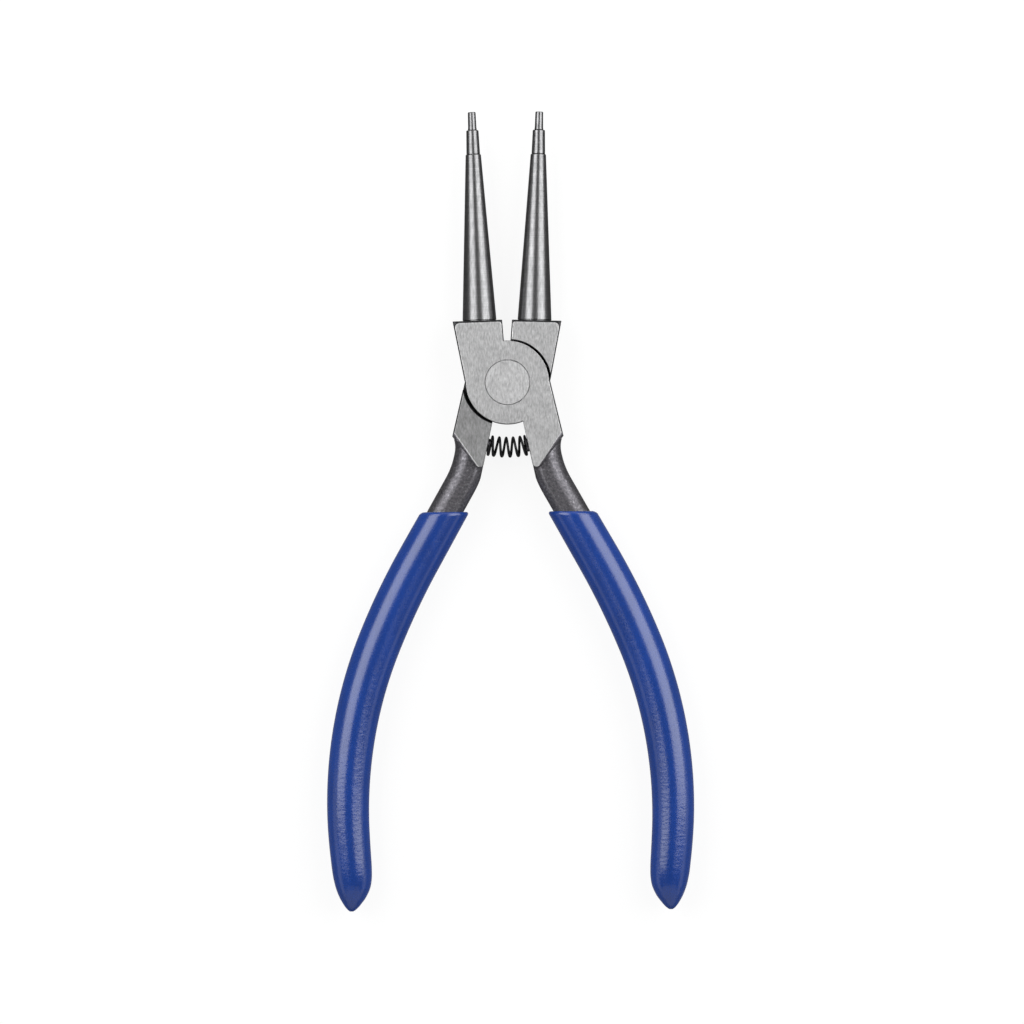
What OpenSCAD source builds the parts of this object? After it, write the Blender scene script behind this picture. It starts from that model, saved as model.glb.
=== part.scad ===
// Circlip pliers for internal rings, lying on their back with the tips along +Y.
// Two like forged levers cross in a half lap, a flush rivet holds them, and a
// coil spring between the handle roots pushes them open.
// Millimetres. The origin is on the pivot axis, in the plane of the back face.

/* [Head] */
// Thickness of the ground head, front face to back face
head_t = 9.7; // [8.6:0.1:13]
// Diameter of the lap disc on each lever
disc_d = 18.8; // [17:0.1:22]
// Smallest gap between a lap disc and the recess that it turns in
recess_gap = 0.2; // [0.1:0.05:0.6]
// How far each recess is milled off the pivot beside the jaw, which widens its gap outwards
recess_jaw_shift = 0.4; // [0:0.05:0.8]
// How far it is milled off the pivot beside the handle root
recess_root_shift = 0.7; // [0:0.05:0.8]
// Play between the two lap faces
lap_play = 0.06; // [0.02:0.02:0.2]
// Height of the shoulder above the pivot, on the jaw's axis
shoulder_y = 13.75; // [12:0.05:18]
// Lean of the jaw block's outer flank
jaw_flank = 11; // [5:0.5:16]
// Lean of the jaw block's inner face, half of the slot between the blocks
slot_lean = 4.55; // [2:0.05:6]
// Lean of the handle root's outer flank
root_flank = 13.3; // [8:0.1:18]
// Depth of the handle root's outer corner below the pivot
root_y = 12.1; // [11:0.1:15]
// Depth of the ground flat's rounded toe below the pivot
toe_y = 19.1; // [17:0.1:22]
// Radius of the toe
toe_r = 1.65; // [1:0.05:2.2]
// Width of the bevel along the head's edges
edge_bevel = 0.35; // [0.1:0.05:0.6]

/* [Jaws] */
// Distance of the jaw's axis from the middle, at the shoulder
jaw_x = 6.2; // [5.6:0.05:7.5]
// Lean of the jaw's axis, outwards
jaw_lean = 1.73; // [0:0.01:4]
// Diameter of the round jaw at the shoulder
jaw_root_d = 7.63; // [6:0.01:8.4]
// Diameter of the round jaw at its upper end
jaw_end_d = 3.46; // [3.3:0.01:5]
// Length of the round jaw
jaw_len = 37.6; // [20:0.1:60]
// Diameter of the middle step at its foot
step_d = 3.06; // [2.6:0.01:3.2]
// Diameter of the middle step at its upper end
step_end_d = 2.76; // [2.4:0.01:3]
// Length of the middle step
step_len = 5.4; // [2:0.1:10]
// Diameter of the end pin that goes in a ring's lug hole
pin_d = 1.9; // [1.2:0.05:2.3]
// Length of the end pin, flare included
pin_len = 4.3; // [3:0.1:8]
// Length of the flare at the pin's foot
flare_len = 0.9; // [0.3:0.1:1.5]
// Bevel on each turned corner
turned_bevel = 0.12; // [0.05:0.01:0.3]

/* [Pivot] */
// Diameter of the rivet's flush heads
rivet_head_d = 10; // [8:0.1:12]
// Diameter of the rivet's shank
rivet_d = 6.6; // [5:0.1:7.6]
// Straight rim of each head, above its cone
rivet_rim = 0.3; // [0.1:0.05:0.8]
// Radial running clearance of the rear lever on the rivet
rivet_play = 0.05; // [0.02:0.01:0.1]

/* [Spring] */
// Lean of the two spring seats on the handle roots
seat_lean = 12.2; // [8:0.1:16]
// Height above the pivot at which the two seats' planes meet
seat_apex = 7.17; // [5:0.05:9]
// Depth of the spring's ends below the pivot
spring_y = 14.05; // [13:0.05:16]
// Outside diameter of the coils
coil_d = 4.8; // [4.4:0.05:5.6]
// Diameter of the wire
wire_d = 0.6; // [0.45:0.05:0.85]
// Open coils
live_turns = 4.5; // [3:0.25:6]
// Closed coils at each end
end_turns = 0.75; // [0.5:0.25:1.25]
// Clearance between a peg and the coils round it
peg_play = 0.3; // [0.1:0.05:0.4]
// How far a peg stands out of its seat
peg_out = 0.9; // [0.5:0.1:2.4]
// Depth of the blind hole that a peg is pressed into
peg_in = 3; // [2:0.1:4]

/* [Handles] */
// Width of the steel shank
shank_w = 7.2; // [6:0.1:7.6]
// Bevel along the shank's inner corners
shank_bevel = 1.5; // [0.8:0.1:2]
// Start of the shank's middle line, inside the head
shank_x = 7.62; // [7:0.05:8.4]
// Depth of that start below the pivot
shank_y = 9; // [8:0.1:10]
// Lean of the shank where it leaves the head
shank_lean = 6.4; // [4:0.1:9]
// Straight run inside the head
neck_run = 6; // [5:0.1:7]
// Radius of the hollow between the root's outer corner and the neck
hollow_r = 6; // [4:0.5:9]
// Thickness of the web that the hollow is forged in
web_t = 4.4; // [3:0.1:6]
// Radius of the bend outwards at the neck
neck_r = 21.5; // [16:0.5:30]
// Bend outwards at the neck
neck_turn = 23; // [18:0.5:27]
// Straight run into the grip
upper_run = 19; // [17:0.5:26]
// Radius of the first curve inwards
upper_r = 164; // [120:2:240]
// Turn of the first curve inwards
upper_turn = 7.4; // [4:0.1:11]
// Radius of the palm curve
palm_r = 99; // [80:1:130]
// Turn of the palm curve
palm_turn = 25.4; // [18:0.1:30]
// Straight run below the palm curve
lower_run = 3.5; // [1:0.1:10]
// Radius of the last curve outwards
heel_r = 80; // [50:1:120]
// Turn of the last curve outwards
heel_turn = 3.4; // [1:0.1:6]

/* [Grips] */
// Thickness of the dipped grip over the shank
grip_wall = 1.25; // [0.8:0.05:1.8]
// Depth of the grip's level mouth below the pivot
mouth_y = 29.07; // [27:0.1:34]
// Length of the grip's pointed end
nose_len = 9.2; // [7:0.1:14]
// Diameter of the blunt tip of that end
nose_tip_d = 1; // [0.4:0.1:3]
// How far the shank reaches into the pointed end
tang_end = 2; // [0.5:0.5:4]

/* [Hidden] */
$fn = 64;
over = 1;
disc_r = disc_d / 2;
recess_r = disc_r + recess_gap;
mid_z = head_t / 2;
// The flanks stand just inside the disc's tangent, so each one crosses its rim.
flank_r = disc_r - 0.04;
coil_r = (coil_d - wire_d) / 2;
peg_d = coil_d - 2 * wire_d - 2 * peg_play;
grip_d = shank_w + 2 * grip_wall;
// Each leg of the handle is a straight [length, 0] or a bend [radius, turn], outwards positive.
route = [
    [neck_run, 0],
    [neck_r, neck_turn],
    [upper_run, 0],
    [upper_r, -upper_turn],
    [palm_r, -palm_turn],
    [lower_run, 0],
    [heel_r, heel_turn]
];
// The grip starts on this leg, above its mouth.
grip_leg = 2;
// Each leg is let into the one above it, and is this much slimmer all round.
let_in = 0.4;
taper = 0.015;
// The pointed end's side is an arc that leaves the grip without a kink and runs to the tip.
grip_end_r = grip_d / 2 - len(route) * taper;
nose_drop = grip_end_r - nose_tip_d / 2;
nose_r = (nose_len * nose_len + nose_drop * nose_drop) / (2 * nose_drop);

function unit(a) = [sin(a), cos(a)];
function across(a) = [cos(a), -sin(a)];
function cross2(a, b) = a[0] * b[1] - a[1] * b[0];
// Where the line from p along d meets the line from q along e.
function meet(p, d, q, e) = p + d * cross2(q - p, e) / cross2(d, e);
// A point on the seat's line, at depth y below the pivot.
function on_seat(y) = [tan(seat_lean) * (seat_apex + y), -y];

// The jaw block's corners.
jaw_foot = flank_r * across(jaw_flank);
shoulder = [jaw_x, shoulder_y];
jaw_out = meet(jaw_foot, unit(jaw_flank), shoulder, across(jaw_lean));
jaw_in = meet([0, 0], unit(slot_lean), shoulder, across(jaw_lean));
// The handle root's corners.
root_foot = flank_r * across(-root_flank);
root_out = meet(root_foot, unit(-root_flank), [0, -root_y], [1, 0]);
seat_out = across(-seat_lean);
toe = meet(on_seat(0) + seat_out * toe_r, unit(-seat_lean), [0, toe_r - toe_y], [1, 0]);
toe_away = root_out - toe;
toe_reach = norm(toe_away);
toe_turn = atan2(toe_away[1], toe_away[0]) - acos(toe_r / toe_reach);
toe_inset = toe_r - 0.02;
toe_right = toe + toe_inset * [cos(toe_turn), sin(toe_turn)];
toe_left = toe - toe_inset * seat_out;
seat_top = on_seat(disc_r - over);
// The hollow under that corner: it touches the shank's outer edge and ends at the corner.
shank_top = [shank_x, -shank_y];
shank_out = across(-shank_lean);
shank_down = -unit(-shank_lean);
hollow_out = hollow_r + shank_w / 2 - taper;
corner_down = (root_out - shank_top) * shank_down;
corner_out = (root_out - shank_top) * shank_out;
hollow_down = corner_down + sqrt(pow(hollow_r, 2) - pow(corner_out - hollow_out, 2));
hollow = shank_top + hollow_down * shank_down + hollow_out * shank_out;
seat_spot = on_seat(spring_y);

// Which piece to draw, or all of them

// Turns a piece of the front lever over into its place on the rear one.
module turned_over() {
    translate([0, 0, head_t])
        rotate([0, 180, 0])
            children();
}

// Moves to the lower end of one leg.
module past(leg) {
    side = sign(leg[1]) * leg[0];
    if (leg[1] == 0)
        translate([0, -leg[0], 0])
            children();
    else
        translate([side, 0, 0])
            rotate(leg[1])
                translate([-side, 0, 0])
                    children();
}

// One leg with the given section, going down -Y. It is the i-th, which sets its taper.
module leg_solid(leg, i) {
    $slim = i * taper;
    lead = let_in / leg[0] * 180 / PI;
    if (leg[1] == 0)
        rotate([90, 0, 0])
            translate([0, 0, -let_in])
                linear_extrude(leg[0] + let_in)
                    children();
    else if (leg[1] > 0)
        translate([leg[0], 0, 0])
            rotate(180 - lead)
                rotate_extrude(angle = leg[1] + lead)
                    translate([leg[0], 0])
                        mirror([1, 0])
                            children();
    else
        translate([-leg[0], 0, 0])
            rotate(leg[1])
                rotate_extrude(angle = lead - leg[1])
                    translate([leg[0], 0])
                        children();
}

// Sweeps a section along the route, from the given leg on.
module sweep(first, i = 0) {
    if (i < len(route)) {
        if (i >= first)
            leg_solid(route[i], i)
                children();
        past(route[i])
            sweep(first, i + 1)
                children();
    }
}

// Moves to the end of the route.
module at_end(i = 0) {
    if (i < len(route))
        past(route[i])
            at_end(i + 1)
                children();
    else
        children();
}

module at_shank() {
    translate([shank_x, -shank_y, mid_z])
        rotate(shank_lean)
            children();
}

// The shank's section: round towards the palm, bevelled towards the other handle.
module shank_section() {
    r = shank_w / 2 - $slim;
    circle(r);
    polygon([
        [0, r],
        [shank_bevel - r, r],
        [-r, r - shank_bevel],
        [-r, shank_bevel - r],
        [shank_bevel - r, -r],
        [0, -r]
    ]);
}

module shank() {
    at_shank() {
        sweep(0)
            shank_section();
        at_end()
            leg_solid([tang_end, 0], len(route))
                shank_section();
    }
}

// The web beside the neck, from the root's outer corner down the hollow.
module neck_web() {
    translate([0, 0, mid_z - web_t / 2])
        linear_extrude(web_t)
            difference() {
                polygon([
                    shank_top + corner_down * shank_down,
                    root_out,
                    hollow - hollow_r * shank_out,
                    shank_top + hollow_down * shank_down
                ]);
                translate(hollow)
                    circle(hollow_r);
            }
}

// The side of the seat's plane that stays free for the spring.
module seat_cut() {
    translate([on_seat(0)[0], 0, mid_z])
        rotate(seat_lean)
            translate([-shank_w, -mouth_y, -head_t])
                cube([shank_w, 2 * mouth_y, 2 * head_t]);
}

// The turned jaw, along +Y from its shoulder.
module jaw_profile() {
    root_r = jaw_root_d / 2;
    end_r = jaw_end_d / 2;
    step_r = step_d / 2;
    step_end_r = step_end_d / 2;
    pin_r = pin_d / 2;
    step_top = jaw_len + step_len;
    pin_top = step_top + pin_len;
    polygon([
        [0, -over],
        [root_r, -over],
        [root_r, 0],
        [end_r, jaw_len - turned_bevel],
        [end_r - turned_bevel, jaw_len],
        [step_r, jaw_len],
        [step_end_r, step_top - turned_bevel],
        [step_end_r - turned_bevel, step_top],
        [pin_r + turned_bevel, step_top],
        [pin_r, step_top + flare_len],
        [pin_r, pin_top - turned_bevel],
        [pin_r - turned_bevel, pin_top],
        [0, pin_top]
    ]);
}

module jaw() {
    translate([jaw_x, shoulder_y, mid_z])
        rotate(-jaw_lean)
            rotate([-90, 0, 0])
                rotate_extrude()
                    jaw_profile();
}

// A 45 degree bevel along one edge of the plate, on both faces.
module plate_bevel(a, b) {
    run = b - a;
    side = edge_bevel * sqrt(2);
    for (z = [0, head_t])
        translate([(a[0] + b[0]) / 2, (a[1] + b[1]) / 2, z])
            rotate(atan2(run[1], run[0]))
                rotate([45, 0, 0])
                    cube([norm(run) + 2 * edge_bevel, side, side], center = true);
}

module jaw_block() {
    difference() {
        linear_extrude(head_t)
            polygon([[0, 0], jaw_foot, jaw_out, jaw_in]);
        plate_bevel(jaw_foot, jaw_out);
        plate_bevel(jaw_out, jaw_in);
    }
}

module handle_root() {
    difference() {
        linear_extrude(head_t) {
            polygon([[0, 0], root_foot, root_out, toe_right, toe, toe_left, seat_top]);
            translate(toe)
                circle(toe_r);
        }
        plate_bevel(root_foot, root_out);
        plate_bevel(root_out, toe_right);
    }
}

// The room that the other lever's lap disc turns in.
module recess() {
    for (x = [-recess_jaw_shift, recess_root_shift])
        translate([x, 0, -over])
            cylinder(r = recess_r, h = mid_z + lap_play / 2 + over);
}

// The rivet's outline, grown by a clearance and run out past its ends.
module rivet_profile(play, past_end) {
    head_r = rivet_head_d / 2 + play;
    shank_r = rivet_d / 2 + play;
    cone = rivet_rim + (rivet_head_d - rivet_d) / 2;
    polygon([
        [0, -past_end],
        [head_r, -past_end],
        [head_r, rivet_rim],
        [shank_r, cone],
        [shank_r, head_t - cone],
        [head_r, head_t - rivet_rim],
        [head_r, head_t + past_end],
        [0, head_t + past_end]
    ]);
}

// Places a piece on the spring seat, with +Z out of the seat.
module at_seat() {
    translate([seat_spot[0], seat_spot[1], mid_z])
        rotate(seat_lean)
            rotate([0, -90, 0])
                children();
}

// One forged lever: jaw on the left, lap disc in the front half, handle on the right.
module lever(play) {
    difference() {
        union() {
            mirror([1, 0, 0]) {
                jaw_block();
                jaw();
            }
            cylinder(r = disc_r, h = head_t);
            handle_root();
            neck_web();
            difference() {
                shank();
                seat_cut();
            }
        }
        recess();
        rotate_extrude()
            rivet_profile(play, over);
        at_seat()
            translate([0, 0, -peg_in])
                cylinder(d = peg_d, h = peg_in + over);
    }
}

// The front lever, which holds the rivet.
module front_lever() {
    color("silver")
        lever(0);
}

// The rear lever, which turns on the rivet.
module rear_lever() {
    color("silver")
        turned_over()
            lever(rivet_play);
}

module pivot_rivet() {
    color("lightgray")
        rotate_extrude()
            rivet_profile(0, 0);
}

// A pressed-in peg with a bevelled end, centred in the spring's end coil.
module peg() {
    r = peg_d / 2;
    bevel = r / 4;
    at_seat()
        translate([0, 0, -peg_in])
            rotate_extrude()
                polygon([
                    [0, 0],
                    [r, 0],
                    [r, peg_in + peg_out - bevel],
                    [r - bevel, peg_in + peg_out],
                    [0, peg_in + peg_out]
                ]);
}

module right_peg() {
    color("gray")
        peg();
}

module left_peg() {
    color("gray")
        turned_over()
            peg();
}

// The spring's axis is an arc about the line where the two seats' planes meet.
spring_r = norm(seat_spot - [0, seat_apex]);
spring_gap = 0.02;
spring_span = 2 * spring_r * seat_lean * PI / 180 - wire_d - 2 * spring_gap;
close_pitch = wire_d * 1.03;
live_pitch = (spring_span - 2 * end_turns * close_pitch) / live_turns;
turns = 2 * end_turns + live_turns;
coil_steps = 20;
wire_sides = 8;
rings = round(turns * coil_steps);

// Distance along the spring's axis after t turns.
function coil_rise(t) =
    t < end_turns ? t * close_pitch :
    t < end_turns + live_turns ? end_turns * close_pitch + (t - end_turns) * live_pitch :
    spring_span - (turns - t) * close_pitch;

// One point on the skin of the right-hand coil: t turns along it, at angle a round the wire.
function coil_skin(t, a) =
    let (
        arc = (coil_rise(t) - spring_span / 2) / spring_r * 180 / PI,
        turn = 90 - 360 * (t - turns / 2),
        out = coil_r + wire_d / 2 * cos(a),
        along = wire_d / 2 * sin(a),
        depth = spring_r + out * cos(turn)
    )
    [
        depth * sin(arc) + along * cos(arc),
        seat_apex - depth * cos(arc) + along * sin(arc),
        mid_z + out * sin(turn)
    ];

module return_spring() {
    skin = [
        for (i = [0 : rings], k = [0 : wire_sides - 1])
            coil_skin(i * turns / rings, k * 360 / wire_sides)
    ];
    last = rings * wire_sides;
    walls = [
        for (i = [0 : rings - 1], k = [0 : wire_sides - 1])
            let (
                n = (k + 1) % wire_sides,
                low = i * wire_sides,
                high = low + wire_sides
            )
            [low + n, high + n, high + k, low + k]
    ];
    ends = [
        [for (k = [wire_sides - 1 : -1 : 0]) k],
        [for (k = [0 : wire_sides - 1]) last + k]
    ];
    color("dimgray")
        polyhedron(skin, concat(walls, ends));
}

// The side of the grip's pointed end, let into the last leg like any other.
module nose_profile() {
    intersection() {
        translate([grip_end_r - nose_r, 0])
            circle(nose_r);
        translate([0, -let_in])
            square([grip_d, nose_len + let_in]);
    }
}

// A dipped grip: round in section, level at the mouth, pointed at the end.
module grip() {
    difference() {
        at_shank() {
            sweep(grip_leg)
                circle(grip_d / 2 - $slim);
            at_end()
                rotate([90, 0, 0])
                    rotate_extrude()
                        nose_profile();
        }
        shank();
        translate([-head_t, -mouth_y, -head_t])
            cube([10 * head_t, 2 * mouth_y, 3 * head_t]);
    }
}

module right_grip() {
    color("royalblue")
        grip();
}

module left_grip() {
    color("royalblue")
        turned_over()
            grip();
}

front_lever();
rear_lever();
pivot_rivet();
return_spring();
right_peg();
left_peg();
right_grip();
left_grip();
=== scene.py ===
"""Circlip pliers: forged steel levers, a flush rivet, a coil spring and dipped grips."""

import math

import bmesh
import bpy
from bpy.props import FloatProperty, FloatVectorProperty, PointerProperty
from bpy.types import Operator, Panel, PropertyGroup
from mathutils import Matrix, Vector


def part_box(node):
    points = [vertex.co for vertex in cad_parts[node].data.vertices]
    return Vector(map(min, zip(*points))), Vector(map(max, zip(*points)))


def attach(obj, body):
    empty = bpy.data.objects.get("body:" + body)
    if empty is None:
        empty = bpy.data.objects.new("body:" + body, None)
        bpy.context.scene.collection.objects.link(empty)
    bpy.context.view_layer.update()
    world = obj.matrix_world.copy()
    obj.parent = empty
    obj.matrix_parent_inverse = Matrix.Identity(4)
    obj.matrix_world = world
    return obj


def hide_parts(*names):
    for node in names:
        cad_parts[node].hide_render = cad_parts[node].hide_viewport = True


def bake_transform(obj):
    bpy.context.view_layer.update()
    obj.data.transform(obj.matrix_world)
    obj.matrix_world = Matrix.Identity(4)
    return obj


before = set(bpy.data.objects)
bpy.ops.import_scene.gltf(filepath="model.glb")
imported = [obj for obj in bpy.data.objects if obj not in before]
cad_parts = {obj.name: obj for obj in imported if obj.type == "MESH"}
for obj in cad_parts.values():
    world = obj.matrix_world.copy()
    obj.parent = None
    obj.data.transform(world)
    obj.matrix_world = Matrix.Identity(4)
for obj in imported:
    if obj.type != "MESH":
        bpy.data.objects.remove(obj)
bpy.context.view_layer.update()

bl_info = {
    "name": "Circlip Pliers",
    "version": (1, 0, 0),
    "blender": (4, 5, 0),
    "location": "View3D > Sidebar > Pliers",
    "description": "Dresses a pair of circlip pliers in ground and forged steel and dipped vinyl",
    "category": "Add Mesh",
}

MM = 0.001
LEVER_LOW, LEVER_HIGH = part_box("front_lever")
RIVET_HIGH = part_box("pivot_rivet")[1]
GRIP_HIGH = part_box("right_grip")[1]

QUARTER = math.pi / 2
# Angle of one step along a drawn arc
ARC_STEP = math.radians(3)
# Steps of the plate's lap, toe and corner arcs, and of its rounded edges
LAP_STEPS, TOE_STEPS, CORNER_STEPS, EDGE_STEPS = 48, 18, 5, 4
# Sides of the turned and swept pieces
TURNED_SIDES, GRIP_SIDES, WIRE_SIDES = 96, 64, 14
# Steps of one coil, of a shank's bevels, along a grip's bore and across its lip
COIL_STEPS, BEVEL_STEPS, BORE_STEPS, LIP_STEPS = 36, 3, 90, 5
# How far one solid is let into another, and how far a cutter runs past a face
LET_IN = 1 * MM
# Points nearer than this are one point
ONE_POINT = 0.001 * MM
# Edges that bend more than this are sharp, on steel and on vinyl
SHARP_ANGLE, VINYL_SHARP_ANGLE = math.radians(32), math.radians(45)
# A face whose normal's height is less than this looks backwards
BACKWARDS = -0.5
# Start of the swept shank inside the head, and one step along it
SHANK_START, SHANK_STEP = 2.4 * MM, 0.6 * MM
# Room between the shank and the seat's plane, and at the spring's ends
SEAT_ROOM, SPRING_ROOM = 0.02 * MM, 0.04 * MM
# Pitch of the closed coils, in wire diameters
CLOSED_COIL = 1.03
# Run over which the grip's level mouth turns square, and where its nose starts
LEVEL_RUN, NOSE_START = 14 * MM, 82 * MM
# One step along the grip, and along its nose
GRIP_STEP, NOSE_STEP = 1 * MM, 0.25 * MM
# Where along the tool the orange peel starts to grow, and where it is full
PEEL_START, PEEL_FULL = -45 * MM, -105 * MM
# Width of the camera's frame in millimetres, and the nearest that it sees in metres
FRAME_WIDTH, NEAREST = 36.0, 0.01

# Order of the finishes on a lever; the last is both the dark scale on the edges and painted shade
# on the recesses' walls
GROUND, DARK_BACK_ROOT, TURNED, FORGED, SCALE_AND_RECESS_SHADE = range(5)

# The dipped grip in millimetres below its mouth: distance, half width, shift outwards
GRIP_SHAPE = (
    (0.0, 4.80, 0.0),
    (12.0, 4.90, 0.0),
    (29.5, 4.96, 0.0),
    (54.5, 4.865, 0.0),
    (65.5, 4.79, 0.0),
    (76.5, 4.685, 0.0),
    (81.5, 4.60, -0.05),
    (85.4, 4.48, -0.26),
    (87.4, 4.28, -0.40),
    (89.4, 3.83, -0.46),
    (91.45, 2.94, -0.38),
    (92.8, 2.06, -0.26),
    (93.5, 1.54, -0.20),
    (94.15, 0.92, -0.14),
    (94.5, 0.42, -0.10),
)


def size(name, millimetres, description):
    """A length that a user may change."""
    return FloatProperty(
        name=name,
        description=description,
        default=millimetres * MM,
        precision=5,
        subtype="DISTANCE",
        unit="LENGTH",
    )


def lean(name, degrees, description):
    """An angle that a user may change."""
    return FloatProperty(
        name=name,
        description=description,
        default=math.radians(degrees),
        subtype="ANGLE",
        unit="ROTATION",
    )


def count(name, default, description):
    """A plain number that a user may change."""
    return FloatProperty(name=name, description=description, default=default)


def colour(name, default, description):
    """A linear colour that a user may change."""
    return FloatVectorProperty(
        name=name,
        description=description,
        default=default,
        subtype="COLOR",
        size=3,
        min=0.0,
        max=1.0,
    )


class HeadSizes(PropertyGroup):
    """The ground head with its half lap."""

    thickness: size("Thickness", (LEVER_HIGH.z - LEVER_LOW.z) / MM, "Front face to back face")
    disc_radius: size("Disc radius", 9.4, "Radius of the lap disc on each lever")
    recess_radius: size("Recess radius", 9.6, "Radius of the recess the disc turns in")
    jaw_shift: size("Jaw shift", 0.2, "Offset of the recess beside the jaw")
    root_shift: size("Root shift", 0.55, "Offset of the recess beside the handle root")
    lap_play: size("Lap play", 0.06, "Play between the two lap faces")
    shoulder: size("Shoulder height", 13.93, "Height of the shoulder on the jaw's axis")
    jaw_flank: lean("Jaw flank", 11, "Lean of the jaw block's outer flank")
    slot_lean: lean("Slot lean", 4.55, "Lean of the jaw block's inner face")
    root_flank: lean("Root flank", 13.3, "Lean of the handle root's outer flank")
    root_depth: size("Root depth", 12.1, "Depth of the handle root's outer corner")
    toe_depth: size("Toe depth", 19.1, "Depth of the ground flat's rounded toe")
    toe_radius: size("Toe radius", 0.95, "Radius of that toe")
    toe_slope: size("Toe slope", 0.78, "Width of the dark slope at the root's outer corner")
    edge_bevel: size("Edge bevel", 0.45, "Width of the rounding on the outer edges")
    shoulder_bevel: size("Shoulder bevel", 0.7, "Width of the rounding on the shoulders")
    ground_depth: size("Ground depth", 0.04, "Depth of the ground band on the edges")
    burnish_depth: size("Burnish depth", 0.06, "Depth of the bright band along the toe")
    burnish_width: size("Burnish width", 0.38, "Width of that bright band")
    rim_bevel: size("Rim bevel", 0.15, "Width of the bevel on the lap's edges")
    slot_bevel: size("Slot bevel", 0.4, "Width of the bevel on the jaw block's inner edge")
    corner_radius: size("Corner radius", 1.0, "Rounding of the flats' upper corners")


class JawSizes(PropertyGroup):
    """The turned, stepped jaws."""

    offset: size("Offset", 6.2, "Distance of the axis from the middle at the shoulder")
    lean: lean("Lean", 1.73, "Lean of the axis outwards")
    root_radius: size("Root radius", 3.815, "Radius at the shoulder")
    end_radius: size("End radius", 1.73, "Radius at the upper end")
    length: size("Length", 37.57, "Length of the cone")
    step_radius: size("Step radius", 1.53, "Radius of the middle step's foot")
    step_end_radius: size("Step end radius", 1.38, "Radius of the middle step's end")
    step_length: size("Step length", 5.45, "Length of the middle step")
    pin_radius: size("Pin radius", 0.95, "Radius of the end pin's foot")
    pin_end_radius: size("Pin end radius", 0.88, "Radius of the end pin's end")
    pin_length: size("Pin length", 4.1, "Length of the end pin, flare included")
    flare: size("Flare", 0.5, "Length of the flare at the pin's foot")
    corner_bevel: size("Corner bevel", 0.13, "Bevel on each turned corner")
    relief: size("Relief", 0.14, "Depth and width of the groove at the foot of each step")


class RivetSizes(PropertyGroup):
    """The flush rivet."""

    radius: size("Radius", RIVET_HIGH.x / MM, "Radius of the flush heads")
    shank_radius: size("Shank radius", 3.3, "Radius between the heads' cones")
    rim_bevel: size("Rim bevel", 0.1, "Width of the bevel round each head")
    rim_depth: size("Rim depth", 0.22, "Depth of that bevel")
    gap: size("Gap", 0.04, "Gap between a head and its seat")


class SpringSizes(PropertyGroup):
    """The return spring between the handle roots."""

    seat_lean: lean("Seat lean", 12.2, "Lean of the two spring seats")
    seat_apex: size("Seat apex", 7.17, "Height at which the seats' planes meet")
    depth: size("Depth", 14.05, "Depth of the spring's ends below the pivot")
    coil_radius: size("Coil radius", 2.1, "Radius to the middle of the wire")
    wire_radius: size("Wire radius", 0.3, "Radius of the wire")
    live_turns: count("Live turns", 4.5, "Open coils")
    end_turns: count("End turns", 0.75, "Closed coils at each end")
    hole_radius: size("Peg hole radius", 1.52, "Radius of the blind hole that a peg sits in")
    hole_depth: size("Peg hole depth", 3.02, "Depth of that hole below its seat")


class HandleSizes(PropertyGroup):
    """The forged shank and its route."""

    half_width: size("Half width", 3.6, "Half of the shank's width")
    bevel: size("Bevel", 1.5, "Bevel along the shank's inner corners")
    start_x: size("Start", 7.62, "Start of the middle line, from the pivot")
    start_depth: size("Start depth", 9.0, "Depth of that start below the pivot")
    lean: lean("Lean", 6.4, "Lean of the shank where it leaves the head")
    hollow_radius: size("Hollow radius", 6.0, "Radius of the hollow beside the neck")
    neck_run: size("Neck run", 6.0, "Straight run inside the head")
    neck_radius: size("Neck radius", 21.5, "Radius of the bend outwards")
    neck_turn: lean("Neck turn", 23.0, "Bend outwards at the neck")
    upper_run: size("Upper run", 19.0, "Straight run into the grip")
    upper_radius: size("Upper radius", 164.0, "Radius of the first curve inwards")
    upper_turn: lean("Upper turn", 7.4, "Turn of the first curve inwards")
    palm_radius: size("Palm radius", 99.0, "Radius of the palm curve")
    palm_turn: lean("Palm turn", 25.4, "Turn of the palm curve")
    lower_run: size("Lower run", 3.5, "Straight run below the palm curve")
    heel_radius: size("Heel radius", 80.0, "Radius of the last curve outwards")
    heel_turn: lean("Heel turn", 3.4, "Turn of the last curve outwards")
    tang_end: size("Tang end", 2.0, "Reach of the shank into the pointed end")


class GripSizes(PropertyGroup):
    """The dipped grips."""

    mouth: size("Mouth", GRIP_HIGH.y / MM, "Height of the level mouth, from the pivot")
    half_height: size("Half height", 4.82, "Half of the grip's thickness, at most")
    lip_radius: size("Lip radius", 0.85, "Rounding of the lip at the mouth")
    clearance: size("Clearance", 0.03, "Gap between the grip and the shank")


class Finishes(PropertyGroup):
    """Colours of the finishes."""

    ground_steel: colour("Ground steel", (0.525, 0.525, 0.528), "Ground flats of the head")
    # Darker, rougher steel on the back flat of each handle root
    back_root_steel: colour("Dull steel", (0.32, 0.32, 0.322), "Flats the grinder left duller")
    turned_steel: colour("Turned steel", (0.235, 0.235, 0.239), "Turned jaws")
    forged_steel: colour("Forged steel", (0.125, 0.121, 0.132), "Shanks as forged")
    # Near-black: dark scale on the head's edges, and painted shade on the recesses' walls
    scale: colour("Scale", (0.03, 0.03, 0.032), "Scale on the head's edges and recesses")
    vinyl: colour("Vinyl", (0.002, 0.032, 0.205), "Dipped grips")
    wire: colour("Wire", (0.018, 0.018, 0.02), "Blackened spring wire")
    floor: colour("Floor", (0.09, 0.09, 0.09), "Pale floor")


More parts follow.
